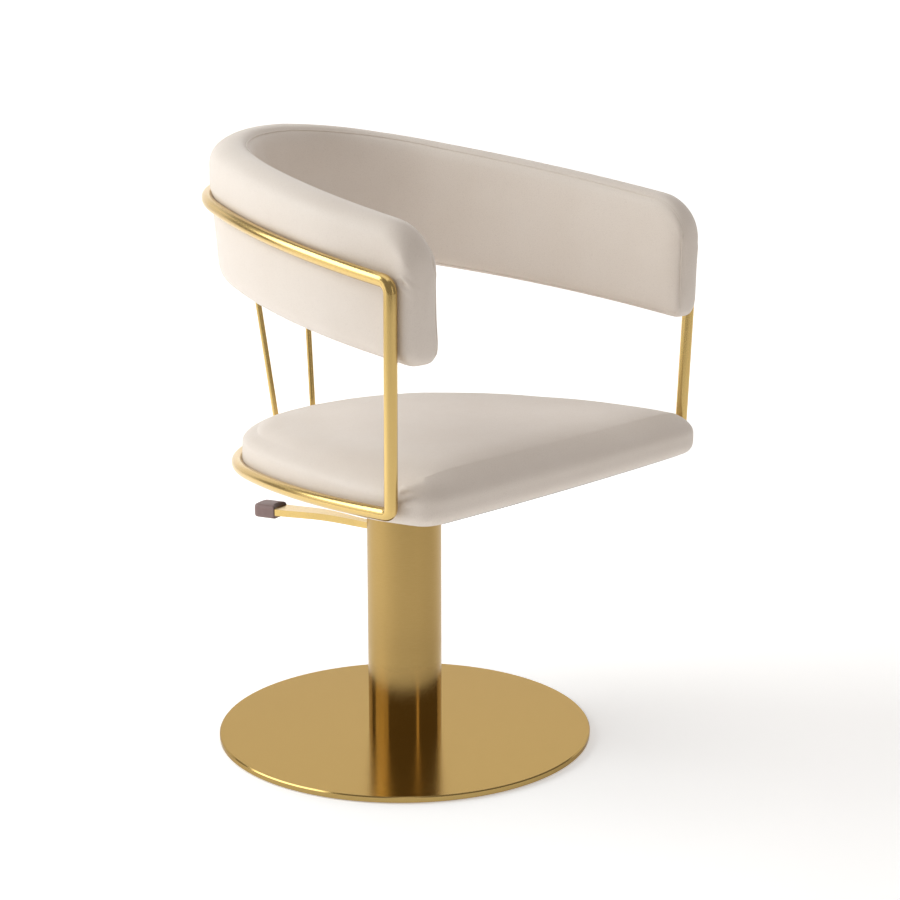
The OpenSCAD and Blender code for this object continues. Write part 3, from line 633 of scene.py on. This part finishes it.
# ---- Back pad: a padded band round the inside of the top bow ----
# PAD_ABOVE and PAD_BELOW are the band's reach over and under the bow's tube at the arms' ends. It grows
# by PAD_RISE and PAD_DROP towards the rear, and its lower edge leans in.
PAD_THICK = 0.049
PAD_ABOVE, PAD_RISE = 0.0625, 0.0125
PAD_BELOW, PAD_DROP = 0.0945, 0.014
PAD_GAP = TUBE_R + 0.0004
PAD_AHEAD = 0.0323
LEAN_FRONT, LEAN_REAR = 0.023, 0.190
PAD_ROWS, PAD_COLS = 32, 8
SLACK = 0.0015
NEST_ABOVE, NEST_BELOW = 0.0055, 0.0035
NEST_FROM, NEST_TO = 0.045, 0.150
ROW_PULL = -0.09
ARM_OUTER_R, ARM_INNER_R, ARM_TOP_R, ARM_LOW_R = 0.014, 0.006, 0.045, 0.014
PAD_EDGE_RADII = (0.024, 0.019, 0.013, 0.017)
ARM_END_RUNS = (0, 0.0008, 0.002, 0.004, 0.007, 0.011, 0.016, 0.022, 0.029, 0.037, 0.046)
PAD_STEPS = 66
PAD_PRESSURE, PAD_CAP = 4.0, 0.004
GRIP_BAND = 0.004
SEAM_R, SEAM_SUNK = 0.0011, 0.0007
GROOVE_W, GROOVE_DEPTH, GROOVE_REACH = 0.0022, 0.0010, 2.5
PAD_PULL_W, PAD_PULL_DEPTH = 0.0028, 0.0026


def drawn_in(run, radius):
    """How far a rounded end of that radius has drawn in at a run from the end."""
    return radius - math.sqrt(radius ** 2 - (radius - run) ** 2) if run < radius else 0.0


def pad_point(run, inside, height):
    """A point of the pad: inside the bow's line and height above it, at a run from the arm's end."""
    half_len = PAD_AHEAD + TOP_BOW.side_len + TOP_BOW.rear_len
    grown = run / half_len
    height *= 1 + grown * (PAD_RISE / PAD_ABOVE if height > 0 else PAD_DROP / PAD_BELOW)
    lean = max(0.0, -height) * (LEAN_FRONT + (LEAN_REAR - LEAN_FRONT) * grown ** 3)
    x, y = TOP_BOW.along(run, inside + lean, PAD_AHEAD)
    line_y = TOP_BOW.along(run, 0.0, PAD_AHEAD)[1]
    return Vector((x, TOP_BOW.origin.y + y * math.cos(TOP_BOW.tilt),
                   TOP_BOW.origin.z + line_y * math.sin(TOP_BOW.tilt) + height))


def rounded_ring(x0, x1, y0, y1, radii, rows, cols, dense_at=0.5, pull=0.0):
    """A rounded rectangle as a ring of rows by cols points, from its top left clockwise.
    radii are those of the top left, top right, bottom right and bottom left corners. The rows
    crowd together at dense_at, a share of the height from the top, when pull is below 0."""
    tl, tr, br, bl = radii

    def edge(start, end, first, last, count, corner_a, corner_b, dense=None):
        """Points from the middle of one corner's arc, along an edge, to the middle of the next's."""
        (ax, ay, ar, a_from), (bx, by, br_, b_to) = corner_a, corner_b
        arc_a, arc_b = ar * math.pi / 4, br_ * math.pi / 4
        straight = math.dist(start, end)
        points = []
        for i in range(first, last):
            share = i / (count - 1)
            if dense is not None:
                share += pull * (math.sin(math.tau * (share - dense)) + math.sin(math.tau * dense))
            run = (arc_a + straight + arc_b) * share
            if run < arc_a:
                angle = a_from - run / ar
                points.append((ax + ar * math.cos(angle), ay + ar * math.sin(angle)))
            elif run <= arc_a + straight:
                t = (run - arc_a) / straight
                points.append((start[0] + (end[0] - start[0]) * t, start[1] + (end[1] - start[1]) * t))
            else:
                angle = b_to + (arc_a + straight + arc_b - run) / br_
                points.append((bx + br_ * math.cos(angle), by + br_ * math.sin(angle)))
        return points

    eighth = math.pi / 4
    corners = {"tl": (x0 + tl, y1 - tl, tl), "tr": (x1 - tr, y1 - tr, tr),
               "br": (x1 - br, y0 + br, br), "bl": (x0 + bl, y0 + bl, bl)}
    top = edge((x0 + tl, y1), (x1 - tr, y1), 0, cols, cols,
               (*corners["tl"], 3 * eighth), (*corners["tr"], eighth))
    right = edge((x1, y1 - tr), (x1, y0 + br), 1, rows, rows,
                 (*corners["tr"], eighth), (*corners["br"], -eighth), dense_at)
    bottom = edge((x1 - br, y0), (x0 + bl, y0), 1, cols, cols,
                  (*corners["br"], -eighth), (*corners["bl"], -3 * eighth))
    left = edge((x0, y0 + bl), (x0, y1 - tl), 1, rows - 1, rows,
                (*corners["bl"], -3 * eighth), (*corners["tl"], -5 * eighth), 1 - dense_at)
    return top + right + bottom + left


def smooth_step(value, low, high):
    """0 below low, 1 above high, and a smooth rise between them."""
    t = min(1.0, max(0.0, (value - low) / (high - low)))
    return t * t * (3 - 2 * t)


def nest(run, inside, height):
    """How far the pad's outer face stands out past the inside of the bow's tube."""
    share = smooth_step(run, NEST_FROM, NEST_TO) * smooth_step(-inside, -0.026, -0.008)
    return share * (NEST_ABOVE if height > 0 else NEST_BELOW) * smooth_step(abs(height), -0.004, 0.016)


def pad_seam(pad, ring_count):
    """A fine sewn ridge round the pad's inner panel: along the top, down the ends and back underneath."""
    size = 2 * (PAD_ROWS + PAD_COLS) - 4
    top, bottom = PAD_COLS - 1, PAD_COLS + PAD_ROWS - 2
    last = ring_count - 2
    indices = [k * size + top for k in range(last, 0, -1)] + [size + j for j in range(top + 1, bottom)]
    indices += [k * size + bottom for k in range(1, last + 1)]
    indices += [last * size + j for j in range(bottom - 1, top, -1)]
    vertices = pad.data.vertices
    line = [vertices[i].co.copy() for i in indices]
    path = [vertices[i].co - vertices[i].normal * SEAM_SUNK for i in indices]
    for _ in range(3):
        path = [(path[i - 1] + path[i] * 2 + path[(i + 1) % len(path)]) / 4 for i in range(len(path))]
    tree = tree_of([a.lerp(b, t) for a, b in zip(line, line[1:] + line[:1])
                    for t in (0, 0.25, 0.5, 0.75)])
    for vertex in vertices:
        away = tree.find(vertex.co)[2] / GROOVE_W
        if away < GROOVE_REACH:
            vertex.co -= vertex.normal * (GROOVE_DEPTH * math.exp(-away ** 2))
    piece = sweep("back_pad_seam", path, SEAM_R, 10)
    paint(piece, MATERIALS["cream_leatherette"])
    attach(piece, "seat")


def by_tube(run, inside, height):
    """Whether a point of the pad's outer face lies against the bow's tube or an arm's front post."""
    on_face = inside < PAD_GAP + GRIP_BAND and run > 0.02
    return on_face and (abs(height) < 0.010 or run < 0.055)


def back_pad():
    """The back and arm pad: one arm's sections, mirrored, swollen as cloth and pulled in at the posts."""
    half_len = PAD_AHEAD + TOP_BOW.side_len + TOP_BOW.rear_len
    rest = half_len - ARM_END_RUNS[-1]
    runs = [*ARM_END_RUNS, *(ARM_END_RUNS[-1] + rest * i / PAD_STEPS for i in range(1, PAD_STEPS + 1))]
    half, held = [], []
    for run in runs:
        outer = PAD_GAP + drawn_in(run, ARM_OUTER_R)
        inner = PAD_GAP + PAD_THICK - SLACK - drawn_in(run, ARM_INNER_R)
        high = PAD_ABOVE - SLACK - drawn_in(run, ARM_TOP_R)
        low = -PAD_BELOW + SLACK + drawn_in(run, ARM_LOW_R)
        room = (inner - outer) / 2 - 0.0002
        radii = [min(r, room) for r in PAD_EDGE_RADII]
        tube_at = high / (high - low)
        section = rounded_ring(outer, inner, low, high, radii, PAD_ROWS, PAD_COLS, tube_at, ROW_PULL)
        half.append([pad_point(run, inside - nest(run, inside, height), height)
                     for inside, height in section])
        held.append([1.0 if by_tube(run, inside, height) else 0.0 for inside, height in section])
    other_half = [[mirrored(p) for p in ring] for ring in half[-2::-1]]
    piece = boxed_mesh("back_pad_leather", half + other_half, PAD_ROWS, PAD_COLS)
    weights = [w for ring in held for w in ring] + [w for ring in held[-2::-1] for w in ring]
    weights += [0.0] * (len(piece.data.vertices) - len(weights))
    inflate(piece, weights, PAD_PRESSURE, PAD_CAP)
    pull = (BOW_END - Vector((0.010, 0.021, 0.003)), BOW_END - Vector((0.030, 0.034, 0.022)),
            PAD_PULL_W, PAD_PULL_DEPTH)
    finish_pad(piece, "seat", "back_pad", [pull], levels=1)
    pad_seam(piece, len(half + other_half))


back_pad()


# ---- Grip: a moulded rubber sleeve on the lever's end ----
GRIP_LEN, GRIP_W = 0.034, 0.035
GRIP_ROWS, GRIP_COLS = 7, 11
GRIP_EDGE, GRIP_END_R, GRIP_NOTCH, GRIP_DOME = 0.0034, 0.007, 0.006, 0.0008
GRIP_TIP_R, GRIP_MOUTH_R = 0.0035, 0.0012
GRIP_STEPS = (0, 0.02, 0.06, 0.2, 0.35, 0.5, 0.64, 0.75, 0.84, 0.91, 0.96, 0.99, 1.0)
JOINTS = {joint["name"]: joint for joint in frame["record"]["behaviour"]["joints"]}


def lever_grip():
    """A soft-edged sleeve, notched where the lever enters it and slightly domed on top."""
    pivot = JOINTS["lever_stroke"]["pos_m"]
    out = Vector((pivot[0], pivot[1], 0)).normalized()
    side = Vector((-out.y, out.x, 0))
    lo, hi = (Vector(corner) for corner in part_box("lever_grip"))
    middle, half_h = (lo + hi) / 2, (hi.z - lo.z) / 2
    rings = []
    for step in GRIP_STEPS:
        run = GRIP_LEN * step
        from_end = GRIP_LEN - run
        half_w = GRIP_W / 2 - drawn_in(from_end, GRIP_END_R) - drawn_in(run, GRIP_MOUTH_R)
        tall = half_h - drawn_in(from_end, GRIP_TIP_R) - drawn_in(run, GRIP_MOUTH_R)
        section = rounded_ring(-half_w, half_w, -tall, tall, [min(GRIP_EDGE, tall - 0.0002)] * 4,
                               GRIP_ROWS, GRIP_COLS)
        ring = []
        for across, height in section:
            bow = 1 - (across / half_w) ** 2
            notch = GRIP_NOTCH * bow * max(0.0, 1 - step * 2) * smooth_step(height, -half_h, half_h)
            lift = -GRIP_DOME * (1 - bow) * smooth_step(height, 0, half_h)
            ring.append(middle + out * (run - GRIP_LEN / 2 + notch) + side * across
                        + Vector((0, 0, height + lift)))
        rings.append(ring)
    piece = boxed_mesh("grip_sleeve", rings, GRIP_ROWS, GRIP_COLS)
    rounding = piece.modifiers.new("rounding", "SUBSURF")
    rounding.levels = rounding.render_levels = 1
    paint(piece, MATERIALS["grip_rubber"])
    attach(piece, "lever")
    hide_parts("lever_grip")


lever_grip()


# ---- Return spring: the CAD spring's mesh, copied onto the base ----
def return_spring():
    """The CAD spring's mesh, copied into a piece of its own on the base."""
    piece = bpy.data.objects.new("return_spring", NODES["plunger_spring"].data.copy())
    bpy.context.scene.collection.objects.link(piece)
    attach(piece, "base")
    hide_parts("plunger_spring")
    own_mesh(piece)


return_spring()


# ---- Seat: a crowned cushion inside the seat ring ----
# The seat's front third takes its own shape between FRONT_FROM and FRONT_TO ahead of the column's axis.
# The top rolls over its edge by SEAT_ROLL_IN inwards and SEAT_ROLL_DROP down, and further at the front.
seat_lo, seat_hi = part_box("seat_cushion")
SEAT_LOW, SEAT_HIGH, SEAT_FRONT = seat_lo.z, seat_hi.z, -seat_lo.y
SEAT_MID = (SEAT_LOW + SEAT_HIGH) / 2
SEAT_SLOPE = math.tan(math.radians(1.6))
SEAT_CORNER, SEAT_BULGE = 0.034, 0.005
FRONT_FROM, FRONT_TO = 0.19, 0.27
ROLL_GROWN = 0.26
SEAT_GAP = TUBE_R + 0.0006
SEAT_ROWS, SEAT_COLS = 40, 41
SEAT_LOW_R, SEAT_CORNER_LOW_R = 0.008, 0.016
SEAT_ROLL_IN, FRONT_ROLL_IN = 0.048, 0.068
SEAT_ROLL_DROP, FRONT_ROLL_DROP = 0.022, 0.033
ROLL_SHARE, ROLL_POWER = 0.42, 2.3
QUARTER_STEPS, WALL_STEPS, ROLL_STEPS = 5, 4, 8
WALL_RINGS = 12
TOP_PASSES, TOP_SPREAD, MOST_SHARED = 45, 3.5e-6, 0.45
SEAT_NEST = 0.003
SEAT_PRESSURE, SEAT_CAP = 3.0, 0.005
TUCK_W, TUCK_DEPTH = 0.0050, 0.0035
PLAN_STEPS, CORNER_STEPS, EDGE_STEPS = 180, 24, 60
REAR_HALF_ANGLE = 46.5


def seat_plan():
    """The seat's plan from the middle of the rear round to the middle of the front, finely stepped."""
    side = SEAT_RING.half_w - SEAT_GAP
    points = []
    for i in range(PLAN_STEPS + 1):
        x, y = SEAT_RING.plan(math.pi / 2 * i / PLAN_STEPS, SEAT_GAP)
        points.append(Vector((x, y + SEAT_RING.origin.y, 0)))
    front = -SEAT_FRONT + SEAT_BULGE
    for i in range(1, CORNER_STEPS + 1):
        a = math.pi / 2 * i / CORNER_STEPS
        points.append(Vector((side - SEAT_CORNER + SEAT_CORNER * math.cos(a),
                              front + SEAT_CORNER - SEAT_CORNER * math.sin(a), 0)))
    for i in range(1, EDGE_STEPS + 1):
        k = i / EDGE_STEPS
        points.append(Vector(((side - SEAT_CORNER) * (1 - k),
                              front - SEAT_BULGE * (1 - (1 - k) ** 2), 0)))
    return points


def evenly(points, count):
    """count points spaced evenly along a line of points, both ends included."""
    runs = [0.0]
    for a, b in zip(points, points[1:]):
        runs.append(runs[-1] + (b - a).length)
    picked, k = [], 0
    for i in range(count):
        run = runs[-1] * i / (count - 1)
        while k < len(runs) - 2 and runs[k + 1] < run:
            k += 1
        picked.append(points[k].lerp(points[k + 1], (run - runs[k]) / (runs[k + 1] - runs[k])))
    return picked


def seat_ring_points():
    """The seat's outline as a ring of SEAT_ROWS by SEAT_COLS points, clockwise from above."""
    plan = seat_plan()
    rear_end = round(PLAN_STEPS * REAR_HALF_ANGLE / 90)
    corner_mid = PLAN_STEPS + CORNER_STEPS // 2
    rear = evenly(plan[:rear_end + 1], SEAT_COLS // 2 + 1)
    side = evenly(plan[rear_end:corner_mid + 1], SEAT_ROWS)
    front = evenly(plan[corner_mid:], SEAT_COLS // 2 + 1)
    top = [mirrored(p) for p in rear[:0:-1]] + rear
    bottom = front + [mirrored(p) for p in front[-2::-1]]
    return top[:-1] + side[:-1] + bottom[:-1] + [mirrored(p) for p in side[:0:-1]]


def even_top(piece):
    """Spreads unevenness in the heights of the points in the seat's upper half, as heat spreads."""
    points = coordinates(piece)
    near = []
    for point, others in zip(points, neighbours(piece)):
        gaps = [(points[j] - point).length for j in others]
        pull = [4 / (gap * sum(gaps)) for gap in gaps]
        pace = min(TOP_SPREAD * smooth_step(point.z, SEAT_MID, SEAT_HIGH - 0.012),
                   MOST_SHARED / sum(pull))
        near.append([(j, pace * weight) for j, weight in zip(others, pull)])
    heights = [point.z for point in points]
    for _ in range(TOP_PASSES):
        heights = [own + sum((heights[j] - own) * share for j, share in others)
                   for own, others in zip(heights, near)]
    for vertex, height in zip(piece.data.vertices, heights):
        vertex.co.z = height


def seat():
    """The seat: rings up its side, a grid over its top, swollen as cloth inside the seat ring."""
    outline = seat_ring_points()
    size = len(outline)
    normals = []
    for i, p in enumerate(outline):
        along = (outline[(i + 1) % size] - outline[i - 1]).normalized()
        normals.append(Vector((-along.y, along.x, 0)))
    if normals[0].y < 0:
        normals = [-n for n in normals]
    thick = SEAT_HIGH - SEAT_LOW
    rolled = math.acos(1 - ROLL_SHARE)

    def proud(y):
        """How far the seat's side stands out past its outline: over the ring, but not at the front."""
        ahead = smooth_step(-y, FRONT_FROM, FRONT_TO)
        return SEAT_NEST * (1 - ahead) - SLACK * (0.5 + ahead)

    def roll(y):
        """How far in and down the top's rounding goes, at that distance along the seat."""
        share = smooth_step(-y, 0.0, ROLL_GROWN)
        return (SEAT_ROLL_IN + (FRONT_ROLL_IN - SEAT_ROLL_IN) * share,
                SEAT_ROLL_DROP + (FRONT_ROLL_DROP - SEAT_ROLL_DROP) * share)

    def dropped(left, roll_drop):
        """How far the top has dropped where that share of the roll is left, from 1 at the edge to 0."""
        return roll_drop * (1 - math.sqrt(1 - left ** ROLL_POWER))

    def layers(low_r, roll_in, roll_drop):
        """The seat's side as pairs of inset and rise, up from the underside to where its top begins."""
        quarter = [math.pi / 2 * i / QUARTER_STEPS for i in range(QUARTER_STEPS + 1)]
        turned = [math.cos(rolled * i / ROLL_STEPS) for i in range(ROLL_STEPS + 1)]
        wall = thick - roll_drop - low_r
        return ([(low_r * (1 - math.sin(a)), low_r * (1 - math.cos(a))) for a in quarter]
                + [(0.0, low_r + wall * i / WALL_STEPS) for i in range(1, WALL_STEPS)]
                + [(roll_in * (1 - left), thick - dropped(left, roll_drop)) for left in turned])

    def settled(p, rise):
        """A point that high above the seat's underside, on the seat's sloping top."""
        fall = SEAT_SLOPE * (p.y + SEAT_FRONT) * rise / thick
        return Vector((p.x, p.y, SEAT_LOW + rise - fall))

    columns = []
    for p, n in zip(outline, normals):
        ahead = smooth_step(-p.y, FRONT_FROM, FRONT_TO)
        low_r = SEAT_LOW_R + (SEAT_CORNER_LOW_R - SEAT_LOW_R) * ahead
        columns.append([settled(p + n * (proud(p.y) - inset), rise)
                        for inset, rise in layers(low_r, *roll(p.y))])
    rings = [list(ring) for ring in zip(*columns)]
    piece = boxed_mesh("seat_leather", rings, SEAT_ROWS, SEAT_COLS)
    for vertex in piece.data.vertices[size * len(rings):]:
        if vertex.co.z < SEAT_MID:
            continue
        near = min(outline, key=lambda p: (vertex.co.xy - p.xy).length)
        roll_in, roll_drop = roll(near.y)
        left = max(0.0, 1 - ((vertex.co.xy - near.xy).length + proud(near.y)) / roll_in)
        vertex.co.z = settled(vertex.co, thick - dropped(left, roll_drop)).z
    held = []
    for i, vertex in enumerate(piece.data.vertices):
        offset = vertex.co - SEAT_RING.origin
        depth = offset.z + SEAT_SLOPE * offset.y
        at_ring = i < size * WALL_RINGS and offset.y > -TUBE_R and abs(depth) < 0.009
        held.append(1.0 if at_ring or vertex.co.z < SEAT_LOW + 0.004 else 0.0)
    inflate(piece, held, SEAT_PRESSURE, SEAT_CAP)
    even_top(piece)
    tuck = (POST_FOOT + Vector((-0.012, -0.007, 0.024)), POST_FOOT + Vector((-0.020, -0.030, 0.028)),
            TUCK_W, TUCK_DEPTH)
    finish_pad(piece, "seat", "seat_cushion", [tuck], levels=2)


seat()


# ---- Stage, light and camera ----
FLOOR_HALF, FLOOR_FRONT, FLOOR_BACK = 6.0, -4.0, 2.6
SWEEP_R, SWEEP_STEPS, WALL_H = 1.6, 24, 4.0
NEAR_GLOW, FAR_GLOW, GLOW_FROM, GLOW_TO = 0.38, 0.60, 0.2, 2.6
BACK = Vector((0.756, 0.6545, 0))
LEFT = Vector((-BACK.y, BACK.x, 0))
CENTRE = Vector((0, 0, 0.5))


def backdrop():
    """A pale floor that sweeps up behind the chair, and glows faintly, more so further back."""
    profile = [(FLOOR_FRONT, 0.0), (FLOOR_BACK, 0.0)]
    for i in range(1, SWEEP_STEPS + 1):
        a = math.pi / 2 * i / SWEEP_STEPS
        profile.append((FLOOR_BACK + SWEEP_R * math.sin(a), SWEEP_R * (1 - math.cos(a))))
    profile.append((FLOOR_BACK + SWEEP_R, WALL_H))
    bm = bmesh.new()
    rows = []
    for run, rise in profile:
        middle = BACK * run + Vector((0, 0, rise))
        rows.append([bm.verts.new(middle + LEFT * (FLOOR_HALF * end)) for end in (-1, 1)])
    for a, b in zip(rows, rows[1:]):
        bm.faces.new((a[0], b[0], b[1], a[1]))
    mesh = bpy.data.meshes.new("backdrop")
    bm.to_mesh(mesh)
    bm.free()
    for polygon in mesh.polygons:
        polygon.use_smooth = True
    stage = bpy.data.objects.new("backdrop", mesh)
    bpy.context.scene.collection.objects.link(stage)
    s = Shader("backdrop_paper")
    axes = s.axes()
    behind = s.math("ADD", s.math("MULTIPLY", axes["X"], BACK.x), s.math("MULTIPLY", axes["Y"], BACK.y))
    s.set(Base_Color=(0.93, 0.93, 0.93, 1), Roughness=0.9, Specular_IOR_Level=0.1,
          Emission_Color=(1.0, 0.985, 0.97, 1),
          Emission_Strength=s.ramp(behind, NEAR_GLOW, FAR_GLOW, GLOW_FROM, GLOW_TO))
    paint(stage, s.material)


def softbox(name, back, left, up, size, power, colour=(1, 1, 1)):
    """A soft rectangular light that far from the chair's middle, aimed at it."""
    lamp = bpy.data.lights.new(name, "AREA")
    lamp.shape = "RECTANGLE"
    lamp.size, lamp.size_y = size
    lamp.energy = power
    lamp.color = colour
    light = bpy.data.objects.new(name, lamp)
    light.location = CENTRE + BACK * back + LEFT * left + Vector((0, 0, up))
    light.rotation_euler = (CENTRE - light.location).to_track_quat("-Z", "Y").to_euler()
    bpy.context.scene.collection.objects.link(light)


backdrop()
softbox("key", -0.05, 2.4, 1.7, size=(2.0, 1.8), power=48, colour=(0.95, 0.995, 1.0))
softbox("top", 0, 0, 2.6, size=(2.6, 2.6), power=18)
softbox("front", -2.5, -2.2, 0.9, size=(0.4, 2.0), power=4, colour=(1.0, 0.95, 0.92))
softbox("side", -0.5, 2.3, 0.35, size=(2.2, 1.1), power=8)

WORLD_COLOUR, WORLD_STRENGTH = (1.0, 0.95, 0.91, 1), 0.30
world = bpy.data.worlds.new("studio")
bpy.context.scene.world = world
world.use_nodes = True
background = world.node_tree.nodes["Background"]
background.inputs["Color"].default_value = WORLD_COLOUR
background.inputs["Strength"].default_value = WORLD_STRENGTH
bpy.context.scene.view_settings.view_transform = "Standard"
bpy.context.scene.view_settings.look = "None"

CAMERA_HEADING, CAMERA_PITCH = math.radians(-49.121), math.radians(12.283)
CAMERA_LENS, CAMERA_SENSOR = 71.11, 36
CAMERA_AWAY, CAMERA_UP, CAMERA_ROUND = 2.28086, 0.88479, math.radians(-47.595)
camera_data = bpy.data.cameras.new("camera")
camera_data.lens = CAMERA_LENS
camera_data.sensor_width = CAMERA_SENSOR
camera = bpy.data.objects.new("camera", camera_data)
camera.location = (CAMERA_AWAY * math.sin(CAMERA_ROUND), -CAMERA_AWAY * math.cos(CAMERA_ROUND), CAMERA_UP)
camera.rotation_euler = (math.pi / 2 - CAMERA_PITCH, 0, CAMERA_HEADING)
bpy.context.scene.collection.objects.link(camera)
bpy.context.scene.camera = camera

bpy.context.view_layer.update()
